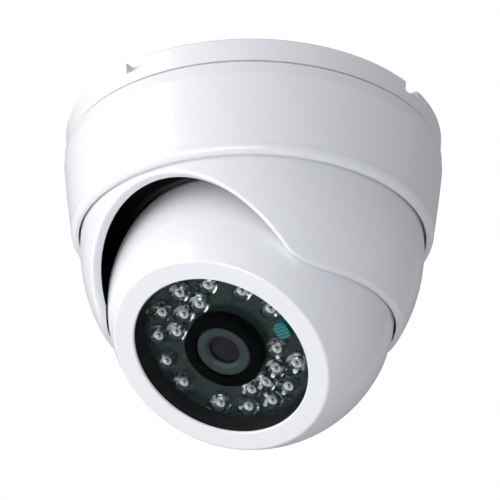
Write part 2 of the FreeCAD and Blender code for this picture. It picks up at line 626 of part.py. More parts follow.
def eyeball_front_shell():
    equator = (BALL_RADIUS, 0)
    face_start = on_sphere(BALL_RADIUS, 0, FACE_ROUND_START_L)
    wall_equator = (BALL_WALL_RADIUS, 0)
    wall_end = (SOCKET_WALL_RADIUS, circle_radius_at(BALL_WALL_RADIUS, SOCKET_WALL_RADIUS))
    body = turned(equator,
                  (between(BALL_RADIUS, 0, equator, face_start), face_start),
                  (FACE_ROUND_MIDDLE, (FACE_OUTER_RADIUS, FACE_L)),
                  (WINDOW_RADIUS + WINDOW_EDGE_ROUND, FACE_L),
                  (WINDOW_RADIUS, FACE_L - WINDOW_EDGE_ROUND),
                  (WINDOW_RADIUS, LIP_L),
                  (SOCKET_RADIUS, LIP_L),
                  (SOCKET_RADIUS, SOCKET_END_L),
                  (SOCKET_WALL_RADIUS, SOCKET_END_L),
                  wall_end,
                  (between(BALL_WALL_RADIUS, 0, wall_end, wall_equator), wall_equator))
    front_room = ball(BALL_RADIUS - FRONT_BOSS_SKIN, 0)
    front_room = front_room.common(rod(BALL_RADIUS, 0, 0, 0, FACE_L - FRONT_BOSS_SKIN))
    boss_room = front_room.fuse(ball(BALL_BOSS_LIMIT_RADIUS, 0))
    for side in (-1, 1):
        boss = cross_rod(BALL_BOSS_RADIUS, side * BALL_BOSS_INNER_X, side * BALL_RADIUS)
        body = body.fuse(boss.common(boss_room))
    for angle in SHELL_SCREW_ANGLES:
        x, y = polar(SHELL_SCREW_CIRCLE, angle)
        body = body.fuse(rod(SHELL_BOSS_RADIUS, x, y, 0, SHELL_BOSS_TOP_L).common(front_room))
    for angle in IR_SCREW_ANGLES:
        x, y = polar(IR_SCREW_CIRCLE, angle)
        boss = rod(IR_SCREW_BOSS_RADIUS, x, y, BOARD_BACK_L, IR_SCREW_BOSS_TOP_L)
        body = body.fuse(boss.cut(rod(SOCKET_RADIUS, 0, 0, 0, LIP_L)))
        body = body.cut(rod(TINY_HEAD_RADIUS + IR_SCREW_HEAD_PLAY, x, y,
                            SOCKET_END_L - CUT_PAST, BOARD_BACK_L))
    for side in (-1, 1):
        body = body.cut(cross_rod(PIN_BORE_RADIUS, side * (PIN_INNER_X - PIN_END_PLAY),
                                  side * (BALL_RADIUS + CUT_PAST)))
    for angle in SHELL_SCREW_ANGLES:
        x, y = polar(SHELL_SCREW_CIRCLE, angle)
        body = body.cut(rod(SMALL_SHANK_RADIUS, x, y, -CUT_PAST, SHELL_SCREW_BORE_L))
    for angle in IR_SCREW_ANGLES:
        x, y = polar(IR_SCREW_CIRCLE, angle)
        body = body.cut(rod(TINY_SHANK_RADIUS, x, y, BOARD_BACK_L - CUT_PAST,
                            IR_SCREW_BOSS_TOP_L - CUT_PAST))
    return in_eyeball(body.removeSplitter())


def eyeball_rear_shell():
    equator = (REAR_RADIUS, 0)
    wall_equator = (REAR_WALL_RADIUS, 0)
    pole = (REAR_OPENING_RADIUS, -circle_radius_at(REAR_RADIUS, REAR_OPENING_RADIUS))
    wall_pole = (REAR_OPENING_RADIUS, -circle_radius_at(REAR_WALL_RADIUS, REAR_OPENING_RADIUS))
    body = turned(wall_equator,
                  (SEAL_INNER_RADIUS, 0),
                  (SEAL_INNER_RADIUS, -SEAL_DEPTH),
                  (SEAL_OUTER_RADIUS, -SEAL_DEPTH),
                  (SEAL_OUTER_RADIUS, 0),
                  equator,
                  (between(REAR_RADIUS, 0, equator, pole), pole),
                  wall_pole,
                  (between(REAR_WALL_RADIUS, 0, wall_pole, wall_equator), wall_equator))
    room = ball(REAR_RADIUS - REAR_COLUMN_SKIN, 0)
    for angle in SHELL_SCREW_ANGLES:
        x, y = polar(SHELL_SCREW_CIRCLE, angle)
        body = body.fuse(rod(REAR_COLUMN_RADIUS, x, y, -BALL_RADIUS, 0).common(room))
    for angle in SHELL_SCREW_ANGLES:
        x, y = polar(SHELL_SCREW_CIRCLE, angle)
        body = body.cut(rod(REAR_COLUMN_BORE, x, y, -BALL_RADIUS, REAR_COLUMN_FLOOR_L))
        body = body.cut(rod(SMALL_SHANK_RADIUS + SCREW_PLAY, x, y,
                            REAR_COLUMN_FLOOR_L - CUT_PAST, CUT_PAST))
    for side in (-1, 1):
        body = body.cut(cross_rod(PIN_NOTCH_RADIUS, side * BALL_BOSS_LIMIT_RADIUS,
                                  side * (BALL_RADIUS + CUT_PAST)))
    return in_eyeball(body.removeSplitter())


def shell_seals():
    ring = tube(SEAL_INNER_RADIUS, SEAL_OUTER_RADIUS, -SEAL_DEPTH, 0)
    for side in (-1, 1):
        ring = ring.cut(cross_rod(PIN_NOTCH_RADIUS, side * BALL_BOSS_LIMIT_RADIUS,
                                  side * (BALL_RADIUS + CUT_PAST)))
    return in_eyeball(ring)


def shell_screws():
    places = [polar(SHELL_SCREW_CIRCLE, angle) for angle in SHELL_SCREW_ANGLES]
    screws = [small_screw(x, y, REAR_COLUMN_FLOOR_L, SHELL_SCREW_TIP_L) for x, y in places]
    return in_eyeball(group(screws))


def window_glass():
    return in_eyeball(rod(GLASS_RADIUS, 0, 0, GLASS_BACK_L, LIP_L))


def window_seal():
    return in_eyeball(turned((WINDOW_SEAL_INNER_RADIUS, WINDOW_SEAL_BACK_L),
                             (SOCKET_RADIUS, WINDOW_SEAL_BACK_L),
                             (SOCKET_RADIUS, LIP_L),
                             (GLASS_RADIUS, LIP_L),
                             (GLASS_RADIUS, GLASS_BACK_L),
                             (WINDOW_SEAL_INNER_RADIUS, GLASS_BACK_L)))


def window_bezel():
    return in_eyeball(turned((BEZEL_FOOT_RADIUS, BOARD_TOP_L),
                             (SOCKET_RADIUS, BOARD_TOP_L),
                             (SOCKET_RADIUS, WINDOW_SEAL_BACK_L),
                             (BEZEL_TOP_RADIUS, WINDOW_SEAL_BACK_L)))


def standoff_places():
    return [(x, y) for x in (-STANDOFF_PLACE, STANDOFF_PLACE) for y in (-STANDOFF_PLACE, STANDOFF_PLACE)]


def ir_board():
    board = tube(IR_BOARD_HOLE_RADIUS, IR_BOARD_RADIUS, BOARD_BACK_L, BOARD_TOP_L)
    for x, y in standoff_places():
        board = board.cut(rod(STANDOFF_SPIGOT_RADIUS, x, y, BOARD_BACK_L - CUT_PAST,
                              BOARD_TOP_L + CUT_PAST))
    return in_eyeball(board)


def led_places():
    outer = [polar(LED_OUTER_CIRCLE, angle) for angle in LED_OUTER_ANGLES]
    inner = [polar(LED_INNER_CIRCLE, angle) for angle in LED_INNER_ANGLES]
    return outer + inner


def led(x, y):
    body = turned((0, 0),
                  (LED_FLANGE_RADIUS, 0),
                  (LED_FLANGE_RADIUS, LED_FLANGE_HEIGHT),
                  (LED_RADIUS, LED_FLANGE_HEIGHT),
                  (LED_RADIUS, LED_BARREL_HEIGHT),
                  crown(LED_RADIUS, LED_BARREL_HEIGHT, LED_HEIGHT))
    body.translate(FreeCAD.Vector(x, y, BOARD_TOP_L))
    return body


def ir_leds():
    return in_eyeball(group(led(x, y) for x, y in led_places()))


def led_solder_joints():
    joints = []
    for x, y in led_places():
        turn = math.atan2(y, x) + math.pi / 2
        for side in (-0.5, 0.5):
            reach = side * LED_LEAD_SPACING
            foot = FreeCAD.Vector(x + reach * math.cos(turn), y + reach * math.sin(turn), BOARD_BACK_L)
            joints.append(Part.makeCone(SOLDER_FOOT_RADIUS, SOLDER_TIP_RADIUS, SOLDER_HEIGHT, foot,
                                        FreeCAD.Vector(0, 0, -1)))
    return in_eyeball(group(joints))


def light_sensor():
    x, y = polar(LIGHT_SENSOR_CIRCLE, LIGHT_SENSOR_ANGLE)
    top = BOARD_TOP_L + LIGHT_SENSOR_HEIGHT
    body = rod(LIGHT_SENSOR_RADIUS, x, y, BOARD_TOP_L, top)
    size = (LIGHT_SENSOR_WIDTH, 2 * LIGHT_SENSOR_RADIUS + CUT_PAST, LIGHT_SENSOR_HEIGHT)
    return in_eyeball(body.common(block(x, y, size, BOARD_TOP_L)))


def board_resistors():
    parts = []
    for angle in RESISTOR_ANGLES:
        part = block(RESISTOR_CIRCLE, 0, RESISTOR_SIZE, BOARD_BACK_L - RESISTOR_SIZE[2])
        part.rotate(ORIGIN, Z_AXIS, angle)
        parts.append(part)
    return in_eyeball(group(parts))


def foam_light_shield():
    return in_eyeball(tube(FOAM_INNER_RADIUS, FOAM_OUTER_RADIUS, BOARD_TOP_L, FOAM_TOP_L))


def ir_board_screws():
    places = [polar(IR_SCREW_CIRCLE, angle) for angle in IR_SCREW_ANGLES]
    return in_eyeball(group(tiny_screw(x, y, BOARD_BACK_L, IR_SCREW_TIP_L) for x, y in places))


def board_standoffs():
    posts = []
    for x, y in standoff_places():
        post = rod(STANDOFF_RADIUS, x, y, SENSOR_BOARD_TOP_L, BOARD_BACK_L)
        post = post.fuse(rod(STANDOFF_SPIGOT_RADIUS, x, y, BOARD_BACK_L, BOARD_TOP_L))
        post = post.cut(rod(TINY_SHANK_RADIUS, x, y, SENSOR_BOARD_TOP_L,
                            SENSOR_BOARD_TOP_L + STANDOFF_BORE_DEPTH))
        posts.append(post)
    return in_eyeball(group(posts))


def holder_screw_places():
    return [(-HOLDER_EAR_X, 0), (HOLDER_EAR_X, 0)]


def sensor_board():
    size = (SENSOR_BOARD_SIDE, SENSOR_BOARD_SIDE, BOARD_THICKNESS)
    board = block(0, 0, size, SENSOR_BOARD_BACK_L)
    for x, y in standoff_places() + holder_screw_places():
        board = board.cut(rod(TINY_SHANK_RADIUS + SCREW_PLAY, x, y,
                              SENSOR_BOARD_BACK_L - CUT_PAST, SENSOR_BOARD_TOP_L + CUT_PAST))
    return in_eyeball(board)


def sensor_board_screws():
    tip = SENSOR_BOARD_TOP_L + BOARD_SCREW_LENGTH
    return in_eyeball(group(tiny_screw(x, y, SENSOR_BOARD_BACK_L, tip) for x, y in standoff_places()))


def lens_holder_screws():
    screws = [tiny_screw(x, y, SENSOR_BOARD_BACK_L, HOLDER_SCREW_TIP_L) for x, y in holder_screw_places()]
    return in_eyeball(group(screws))


def sensor_board_chips():
    chips = []
    for size, (x, y) in zip(CHIP_SIZES, CHIP_PLACES):
        chips.append(block(x, y, size, SENSOR_BOARD_BACK_L - size[2]))
    return in_eyeball(group(chips))


def image_sensor():
    return in_eyeball(block(0, 0, (SENSOR_SIDE, SENSOR_SIDE, SENSOR_THICKNESS), SENSOR_BOARD_TOP_L))


def board_connectors():
    lower = block(PLUG_CIRCLE, 0, PLUG_SIZE, SENSOR_BOARD_TOP_L)
    upper = block(PLUG_CIRCLE, 0, PLUG_SIZE, BOARD_BACK_L - PLUG_SIZE[2])
    plugs = group([lower, upper])
    plugs.rotate(ORIGIN, Z_AXIS, PLUG_ANGLE)
    return in_eyeball(plugs)


def ir_link_wires():
    wires = []
    for i in range(WIRE_COUNT):
        y = WIRE_PITCH * (i - (WIRE_COUNT - 1) / 2)
        wires.append(rod(WIRE_RADIUS, PLUG_CIRCLE, y, SENSOR_BOARD_TOP_L + PLUG_SIZE[2],
                         BOARD_BACK_L - PLUG_SIZE[2]))
    harness = group(wires)
    harness.rotate(ORIGIN, Z_AXIS, PLUG_ANGLE)
    return in_eyeball(harness)


def lens_holder():
    base_height = HOLDER_BASE_TOP_L - SENSOR_BOARD_TOP_L
    body = block(0, 0, (HOLDER_SIDE, HOLDER_SIDE, base_height), SENSOR_BOARD_TOP_L)
    for x, y in holder_screw_places():
        body = body.fuse(rod(HOLDER_EAR_RADIUS, x, y, SENSOR_BOARD_TOP_L, HOLDER_BASE_TOP_L))
    body = body.fuse(rod(HOLDER_TUBE_RADIUS, 0, 0, SENSOR_BOARD_TOP_L, HOLDER_TOP_L))
    cavity_height = HOLDER_CAVITY_TOP_L - SENSOR_BOARD_TOP_L
    cavity_size = (HOLDER_CAVITY_SIDE, HOLDER_CAVITY_SIDE, cavity_height)
    body = body.cut(block(0, 0, cavity_size, SENSOR_BOARD_TOP_L))
    filter_height = FILTER_TOP_L - HOLDER_CAVITY_TOP_L
    body = body.cut(block(0, 0, (FILTER_SIDE, FILTER_SIDE, filter_height), HOLDER_CAVITY_TOP_L))
    body = body.cut(rod(HOLDER_BORE, 0, 0, FILTER_TOP_L, HOLDER_TOP_L + CUT_PAST))
    for x, y in holder_screw_places():
        body = body.cut(rod(TINY_SHANK_RADIUS, x, y, SENSOR_BOARD_TOP_L - CUT_PAST, HOLDER_SCREW_BORE_L))
    return in_eyeball(body.removeSplitter())


def ir_cut_filter():
    height = FILTER_TOP_L - HOLDER_CAVITY_TOP_L
    return in_eyeball(block(0, 0, (FILTER_SIDE, FILTER_SIDE, height), HOLDER_CAVITY_TOP_L))


def lens_barrel():
    return in_eyeball(turned((LENS_THREAD_RADIUS, LENS_BACK_L),
                             (LENS_THREAD_RADIUS, LENS_HEAD_L),
                             (LENS_HEAD_RADIUS, LENS_HEAD_L),
                             (LENS_HEAD_RADIUS, LENS_FRONT_L - LENS_EDGE),
                             (LENS_HEAD_RADIUS - LENS_EDGE, LENS_FRONT_L),
                             (LENS_BORE, LENS_FRONT_L),
                             (LENS_LIP_RADIUS, LENS_LIP_L + LENS_EDGE),
                             (LENS_LIP_RADIUS, LENS_LIP_L),
                             (LENS_BORE, LENS_LIP_L),
                             (LENS_BORE, LENS_BACK_L)))


def lens_front_element():
    rim = LENS_LIP_RADIUS - LENS_CROWN_GAP
    return in_eyeball(turned((0, LENS_ELEMENT_BACK_L),
                             (LENS_BORE, LENS_ELEMENT_BACK_L),
                             (LENS_BORE, LENS_LIP_L),
                             (rim, LENS_LIP_L),
                             crown(rim, LENS_LIP_L, LENS_CROWN_L)))


def lens_rear_element():
    back, front = REAR_ELEMENT_L
    rim = LENS_BORE - REAR_ELEMENT_SHOULDER
    return in_eyeball(turned((0, back),
                             (LENS_BORE, back),
                             (LENS_BORE, front),
                             (rim, front),
                             crown(rim, front, front + REAR_ELEMENT_RISE)))


def lens_spacer():
    front_of_rear = REAR_ELEMENT_L[1]
    return in_eyeball(turned((SPACER_WALL_RADIUS, front_of_rear),
                             (LENS_BORE, front_of_rear),
                             (LENS_BORE, LENS_ELEMENT_BACK_L),
                             (SPACER_WALL_RADIUS, LENS_ELEMENT_BACK_L),
                             (SPACER_WALL_RADIUS, STOP_L[1]),
                             (STOP_RADIUS, STOP_L[1]),
                             (STOP_RADIUS, STOP_L[0]),
                             (SPACER_WALL_RADIUS, STOP_L[0])))


def lens_retainer():
    return in_eyeball(tube(LENS_LIP_RADIUS, LENS_BORE, LENS_BACK_L, REAR_ELEMENT_L[0]))


def lens_lock_nut():
    nut = tube(LENS_THREAD_RADIUS, NUT_RADIUS, NUT_L[0], NUT_L[1])
    for i in range(NUT_GRIP_COUNT):
        x, y = polar(NUT_RADIUS + NUT_GRIP_RADIUS / 2, 360 * i / NUT_GRIP_COUNT)
        nut = nut.cut(rod(NUT_GRIP_RADIUS, x, y, NUT_L[0] - CUT_PAST, NUT_L[1] + CUT_PAST))
    return in_eyeball(nut)


NODES = (base_plate, bayonet_collar, cable_grommet, friction_ring,
         lock_ring,
         shroud, shroud_liner, liner_screws, pivot_pins,
         eyeball_front_shell, eyeball_rear_shell, shell_seals, shell_screws,
         window_glass, window_seal, window_bezel,
         ir_board, ir_leds, led_solder_joints, light_sensor, board_resistors,
         foam_light_shield, ir_board_screws, board_standoffs,
         sensor_board, sensor_board_screws, sensor_board_chips, image_sensor,
         board_connectors, ir_link_wires,
         lens_holder, lens_holder_screws, ir_cut_filter,
         lens_barrel, lens_front_element, lens_rear_element, lens_spacer, lens_retainer, lens_lock_nut)

os.makedirs("parts", exist_ok=True)
for node in NODES:
    shape = node()
    shape.exportStep("parts/" + node.__name__ + ".step")
    print(node.__name__, "valid" if shape.isValid() else "NOT VALID", len(shape.Solids), "solids",
          round(shape.Volume, 1), "mm3")
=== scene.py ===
import json
import math

import bmesh
import bpy
from mathutils import Matrix, Vector


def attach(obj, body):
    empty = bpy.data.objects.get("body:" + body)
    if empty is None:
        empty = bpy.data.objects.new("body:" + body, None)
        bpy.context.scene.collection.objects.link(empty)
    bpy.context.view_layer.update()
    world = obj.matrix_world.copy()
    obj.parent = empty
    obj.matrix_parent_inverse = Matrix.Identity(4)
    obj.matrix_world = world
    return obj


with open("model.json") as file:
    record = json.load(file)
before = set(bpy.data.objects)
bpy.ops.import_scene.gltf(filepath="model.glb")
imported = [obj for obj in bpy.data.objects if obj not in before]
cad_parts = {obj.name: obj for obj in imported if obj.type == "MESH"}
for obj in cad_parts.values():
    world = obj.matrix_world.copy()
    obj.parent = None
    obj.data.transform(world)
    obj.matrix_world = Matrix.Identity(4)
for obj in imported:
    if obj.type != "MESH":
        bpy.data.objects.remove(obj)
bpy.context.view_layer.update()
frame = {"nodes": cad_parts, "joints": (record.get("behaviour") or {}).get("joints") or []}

# Ceiling dome camera: camera, lights, materials and the fine pieces around the CAD frame.
# Blender works in metres, so lengths given in millimetres are multiplied by MM.
MM = 0.001
JOINTS = {joint["name"]: joint for joint in frame["joints"]}
NODES = frame["nodes"]

# The eyeball's own frame: its origin is the tilt pivot and its Z is the optical axis.
PIVOT = Vector(JOINTS["tilt"]["pos_m"])
OPTICAL_AXIS = Vector(JOINTS["lens_focus"]["axis"]).normalized()
TILT_AXIS = Vector(JOINTS["tilt"]["axis"]).normalized()
EYE_AXES = Matrix((TILT_AXIS, OPTICAL_AXIS.cross(TILT_AXIS), OPTICAL_AXIS)).transposed()
EYE = Matrix.Translation(PIVOT) @ EYE_AXES.to_4x4()
TO_EYE = EYE.inverted()

# Camera: azimuth is turned from -Y towards +X, and a negative elevation looks up.
CAMERA_AZIMUTH = math.radians(36.6)
CAMERA_ELEVATION = math.radians(-28.46)
CAMERA_DISTANCE = 490 * MM
CAMERA_TARGET = Vector((-8.06, 9.89, -23.5)) * MM
CAMERA_ROLL = math.radians(0.67)
CAMERA_LENS = 138.8
SENSOR_WIDTH = 36.0
CLIP_START = 10 * MM

# Floor, in metres, and the surround's strength as a lamp towards straight down and straight up.
FLOOR_Z = -0.75
FLOOR_SIZE = 6.0
FLOOR_GREY = 0.82
LAMP_BELOW = 0.43
LAMP_ABOVE = 0.36

# Far below the 1.5 of real glass, because the photo shows no reflection in the window.
WINDOW_MIRROR_IOR = 1.07
LENS_MIRROR_SHARE = 0.035


# ---------------------------------------------------------------- shader helpers

class Shader:
    """A node material that is built by short calls."""

    def __init__(self, name):
        self.material = bpy.data.materials.new(name)
        self.material.use_nodes = True
        self.tree = self.material.node_tree
        self.tree.nodes.clear()
        self.output = self.tree.nodes.new("ShaderNodeOutputMaterial")

    def add(self, kind, settings=None, **inputs):
        node = self.tree.nodes.new("ShaderNode" + kind)
        for key, value in (settings or {}).items():
            setattr(node, key, value)
        for key, value in inputs.items():
            self.put(node, key.replace("_", " "), value)
        return node

    def put(self, node, key, value):
        """Link or set one input, named by its label or, as in i6, by its place in the list."""
        socket = node.inputs[int(key[1:])] if key[0] == "i" and key[1:].isdigit() else node.inputs[key]
        if isinstance(value, bpy.types.NodeSocket):
            self.tree.links.new(value, socket)
        else:
            socket.default_value = value

    def math(self, operation, a, b=0.0, c=0.0):
        return self.add("Math", {"operation": operation}, i0=a, i1=b, i2=c).outputs[0]

    def mix(self, factor, a, b):
        node = self.add("Mix", {"data_type": "RGBA"})
        self.put(node, "i0", factor)
        self.put(node, "i6", a)
        self.put(node, "i7", b)
        return node.outputs[2]

    def ramp(self, value, low, high, to_low=0.0, to_high=1.0):
        return self.add("MapRange", {"clamp": True}, Value=value, From_Min=low, From_Max=high,
                        To_Min=to_low, To_Max=to_high).outputs[0]

    def millimetres(self, in_eye=False):
        """Place in millimetres, in the part's frame or in the eyeball's own frame."""
        place = self.add("TexCoord").outputs["Object"]
        if not in_eye:
            return self.add("Mapping", Vector=place, Scale=(1 / MM,) * 3).outputs[0]
        turn = EYE_AXES.transposed()
        moved = -(turn @ PIVOT) / MM
        return self.add("Mapping", Vector=place, Location=moved, Rotation=turn.to_euler(),
                        Scale=(1 / MM,) * 3).outputs[0]

    def noise(self, place, scale, detail=3.0, roughness=0.5):
        return self.add("TexNoise", Vector=place, Scale=scale, Detail=detail, Roughness=roughness).outputs[0]

    def bump(self, height, depth, strength=1.0, normal=None):
        """Bump from a height between 0 and 1 that stands for depth millimetres."""
        node = self.add("Bump", Height=height, Strength=strength, Distance=depth * MM)
        if normal is not None:
            self.put(node, "Normal", normal)
        return node.outputs[0]

    def finish(self, surface):
        self.tree.links.new(surface.outputs[0], self.output.inputs["Surface"])
        return self.material


def grey(value):
    return (value, value, value, 1.0)


# ---------------------------------------------------------------- materials

def moulded_plastic(name, colour, roughness, grain_depth, coat=0.0, in_eye=False):
    """Moulded plastic: a fine grain, slow waves from the mould and slightly uneven gloss."""
    shader = Shader(name)
    place = shader.millimetres(in_eye)
    grain = shader.noise(place, 9.0, 2.0)
    waves = shader.noise(place, 0.22, 2.0)
    patches = shader.noise(place, 0.6, 4.0)
    darker = tuple(channel * 0.985 for channel in colour[:3]) + (1.0,)
    tint = shader.mix(shader.ramp(patches, 0.3, 0.7), darker, colour)
    gloss = shader.ramp(patches, 0.25, 0.75, roughness * 0.97, roughness * 1.04)
    normal = shader.bump(waves, 0.012)
    normal = shader.bump(grain, grain_depth, normal=normal)
    surface = shader.add("BsdfPrincipled", Base_Color=tint, Roughness=gloss, Normal=normal,
                         IOR=1.5, Coat_Weight=coat, Coat_Roughness=0.06)
    return shader.finish(surface)


def rubber(name):
    shader = Shader(name)
    place = shader.millimetres()
    grain = shader.noise(place, 14.0, 3.0)
    dust = shader.ramp(shader.noise(place, 0.8, 5.0), 0.55, 0.8, 0.0, 0.5)
    tint = shader.mix(dust, (0.014, 0.014, 0.015, 1.0), (0.045, 0.044, 0.042, 1.0))
    surface = shader.add("BsdfPrincipled", Base_Color=tint, Roughness=0.62,
                         Normal=shader.bump(grain, 0.02))
    return shader.finish(surface)


def foam(name):
    """Open-cell foam: cells with thin sides between them, and painted shade that colours each cell hollow
    darker than its rim.
    """
    shader = Shader(name)
    place = shader.millimetres(in_eye=True)
    cells = shader.add("TexVoronoi", Vector=place, Scale=3.2).outputs["Distance"]
    fine = shader.noise(place, 7.0, 3.0)
    height = shader.math("ADD", shader.ramp(cells, 0.0, 0.5), fine)
    # Painted shade: the hollows at the cell centres are coloured darker than the thin ridges between cells.
    ridge_vs_shaded_hollow = shader.ramp(cells, 0.1, 0.6)
    tint = shader.mix(ridge_vs_shaded_hollow, (0.0004, 0.0005, 0.0005, 1.0), (0.0018, 0.0020, 0.0021, 1.0))
    surface = shader.add("BsdfPrincipled", Base_Color=tint, Roughness=0.95, Specular_IOR_Level=0.03,
                         Normal=shader.bump(height, 0.12))
    return shader.finish(surface)


def metal(name, colour, roughness, scratch_scale=6.0):
    shader = Shader(name)
    place = shader.millimetres()
    scratches = shader.noise(place, scratch_scale, 5.0, 0.7)
    gloss = shader.ramp(scratches, 0.3, 0.7, roughness * 0.75, roughness * 1.35)
    tint = shader.mix(scratches, tuple(channel * 0.82 for channel in colour[:3]) + (1.0,), colour)
    surface = shader.add("BsdfPrincipled", Base_Color=tint, Metallic=1.0, Roughness=gloss,
                         Normal=shader.bump(scratches, 0.01))
    return shader.finish(surface)


def pane(name, tint, ior=1.5):
    """Thin clear glass: a Fresnel mirror over a clear film."""
    shader = Shader(name)
    clear = shader.add("BsdfTransparent", Color=tint)
    mirror = shader.add("BsdfGlossy", Color=grey(1.0), Roughness=0.02)
    fresnel = shader.add("Fresnel", IOR=ior)
    glass = shader.add("MixShader")
    shader.put(glass, "i0", fresnel.outputs[0])
    shader.put(glass, "i1", clear.outputs[0])
    shader.put(glass, "i2", mirror.outputs[0])
    return shader.finish(glass)


def clear_resin(name):
    """Cast epoxy that bends light; lamps shine through it, so what it holds stays lit."""
    shader = Shader(name)
    glass = shader.add("BsdfPrincipled", Base_Color=(0.96, 0.98, 1.0, 1.0), Transmission_Weight=1.0,
                       Roughness=0.015, IOR=1.53)
    clear = shader.add("BsdfTransparent", Color=(0.93, 0.95, 0.97, 1.0))
    rays = shader.add("LightPath")
    mix = shader.add("MixShader")
    shader.put(mix, "i0", rays.outputs["Is Shadow Ray"])
    shader.put(mix, "i1", glass.outputs[0])
    shader.put(mix, "i2", clear.outputs[0])
    return shader.finish(mix)


def circuit_board(name, mask, copper, in_eye=True):
    """Solder mask over copper: thin tracks stand a little proud and show paler."""
    shader = Shader(name)
    place = shader.millimetres(in_eye)
    bricks = shader.add("TexBrick", {"offset": 0.37, "squash": 0.6, "squash_frequency": 3}, Vector=place,
                        Scale=0.42, Mortar_Size=0.035, Mortar_Smooth=0.15, Brick_Width=0.9, Row_Height=0.55)
    tracks = shader.ramp(bricks.outputs["Fac"], 0.2, 0.8)
    weave = shader.noise(place, 3.0, 2.0)
    tint = shader.mix(tracks, mask, copper)
    tint = shader.mix(shader.ramp(weave, 0.35, 0.65, 0.0, 0.35), tint, grey(0.006))
    normal = shader.bump(tracks, 0.03)
    normal = shader.bump(weave, 0.01, normal=normal)
    surface = shader.add("BsdfPrincipled", Base_Color=tint, Roughness=0.24, Normal=normal)
    return shader.finish(surface)


def photocell_face(name):
    """Teal glaze of a light-dependent resistor, with its dark stripes."""
    shader = Shader(name)
    place = shader.millimetres(in_eye=True)
    speck = shader.noise(place, 6.0, 4.0)
    tracks = shader.add("TexWave", {"bands_direction": "Y"}, Vector=place, Scale=0.36, Distortion=0.6)
    tint = shader.mix(speck, (0.0, 0.12, 0.13, 1.0), (0.0, 0.30, 0.31, 1.0))
    stripes = shader.ramp(tracks.outputs["Fac"], 0.25, 0.5, 0.75, 0.0)
    tint = shader.mix(stripes, tint, (0.0, 0.02, 0.024, 1.0))
    surface = shader.add("BsdfPrincipled", Base_Color=tint, Roughness=0.3, Coat_Weight=0.6,
                         Coat_Roughness=0.08, Normal=shader.bump(speck, 0.03))
    return shader.finish(surface)


def lens_coating(name):
    """Coated lens: nearly black glass with a weak violet and a weak green mirror."""
    shader = Shader(name)
    place = shader.millimetres(in_eye=True)
    body = shader.add("BsdfPrincipled", Base_Color=(0.006, 0.006, 0.007, 1.0), Roughness=0.05, IOR=1.3)
    facing = shader.add("LayerWeight", Blend=0.35).outputs["Facing"]
    tint = shader.mix(facing, (0.42, 0.16, 0.34, 1.0), (0.10, 0.30, 0.24, 1.0))
    patches = shader.ramp(shader.noise(place, 0.35), 0.4, 0.6, 0.0, 0.5)
    tint = shader.mix(patches, tint, (0.34, 0.2, 0.16, 1.0))
    mirror = shader.add("BsdfGlossy", Color=tint, Roughness=0.08)
    mix = shader.add("MixShader")
    shader.put(mix, "i0", LENS_MIRROR_SHARE)
    shader.put(mix, "i1", body.outputs[0])
    shader.put(mix, "i2", mirror.outputs[0])
    return shader.finish(mix)


def make_materials():
    return {
        "white_shell": moulded_plastic("white_shell", (0.84, 0.85, 0.87, 1.0), 0.26, 0.004, coat=0.35),
        "black_plastic": moulded_plastic("black_plastic", (0.012, 0.012, 0.013, 1.0), 0.3, 0.006),
        "black_rubber": rubber("black_rubber"),
        "black_foam": foam("black_foam"),
        "steel": metal("steel", (0.62, 0.62, 0.63, 1.0), 0.28),
        "brass": metal("brass", (0.72, 0.52, 0.25, 1.0), 0.3),
        "window_glass": pane("window_glass", (0.96, 0.98, 0.98, 1.0), ior=WINDOW_MIRROR_IOR),
        "dark_board": circuit_board("dark_board", (0.009, 0.020, 0.018, 1.0), (0.016, 0.036, 0.032, 1.0)),
        "green_board": circuit_board("green_board", (0.012, 0.085, 0.03, 1.0), (0.04, 0.17, 0.06, 1.0)),
        "led_resin": clear_resin("led_resin"),
        "led_silver": metal("led_silver", (0.97, 0.97, 0.96, 1.0), 0.32, 3.0),
        "solder": metal("solder", (0.70, 0.71, 0.72, 1.0), 0.32, 3.0),
        "sensor_teal": photocell_face("sensor_teal"),
        "resistor_black": moulded_plastic("resistor_black", (0.02, 0.02, 0.022, 1.0), 0.35, 0.01),
        "chip_black": moulded_plastic("chip_black", (0.018, 0.018, 0.02, 1.0), 0.5, 0.015),
        "sensor_die": metal("sensor_die", (0.28, 0.24, 0.34, 1.0), 0.18),
        "connector_white": moulded_plastic("connector_white", (0.75, 0.73, 0.66, 1.0), 0.4, 0.01),
        "wire_red": moulded_plastic("wire_red", (0.5, 0.03, 0.02, 1.0), 0.4, 0.01),
        "filter_glass": pane("filter_glass", (0.75, 0.55, 0.6, 1.0)),
        "lens_grey": moulded_plastic("lens_grey", (0.024, 0.037, 0.035, 1.0), 0.45, 0.012, in_eye=True),
        "lens_glass": lens_coating("lens_glass"),
    }


def dress_nodes(materials):
    """Give every CAD node the material of its slot."""
    for node in NODES.values():
        for material_slot in node.material_slots:
            material_slot.material = materials[material_slot.material.name.split(".")[0]]


# ---------------------------------------------------------------- fine pieces

# Lead frame, chip and bond wire of one LED, in millimetres, with heights counted from the board.
BOARD_GAP = 0.02
CUP_STEM_RADIUS = 0.35
CUP_FOOT = 0.1
CUP_STEM_TOP = CUP_FOOT * 0.7
CUP_FLOOR = 0.15
CUP_TOP = 0.6
CUP_OUTER_RADIUS = 0.76
CUP_RIM_RADIUS = 0.5
CUP_FLOOR_RADIUS = 0.3
DIE_WIDTH = 0.4
DIE_HEIGHT = 0.15
LEAD_OFFSET = 1.2
POST_RADIUS = 0.3
POST_TOP = 0.95
BOND_WIRE_RADIUS = 0.025
BOND_WIRE_RISE = 0.35
BOND_WIRE_STEPS = 8
TURNED_SIDES = 32
POST_SIDES = 12
WIRE_SIDES = 6
SMOOTH_ANGLE = math.radians(35)


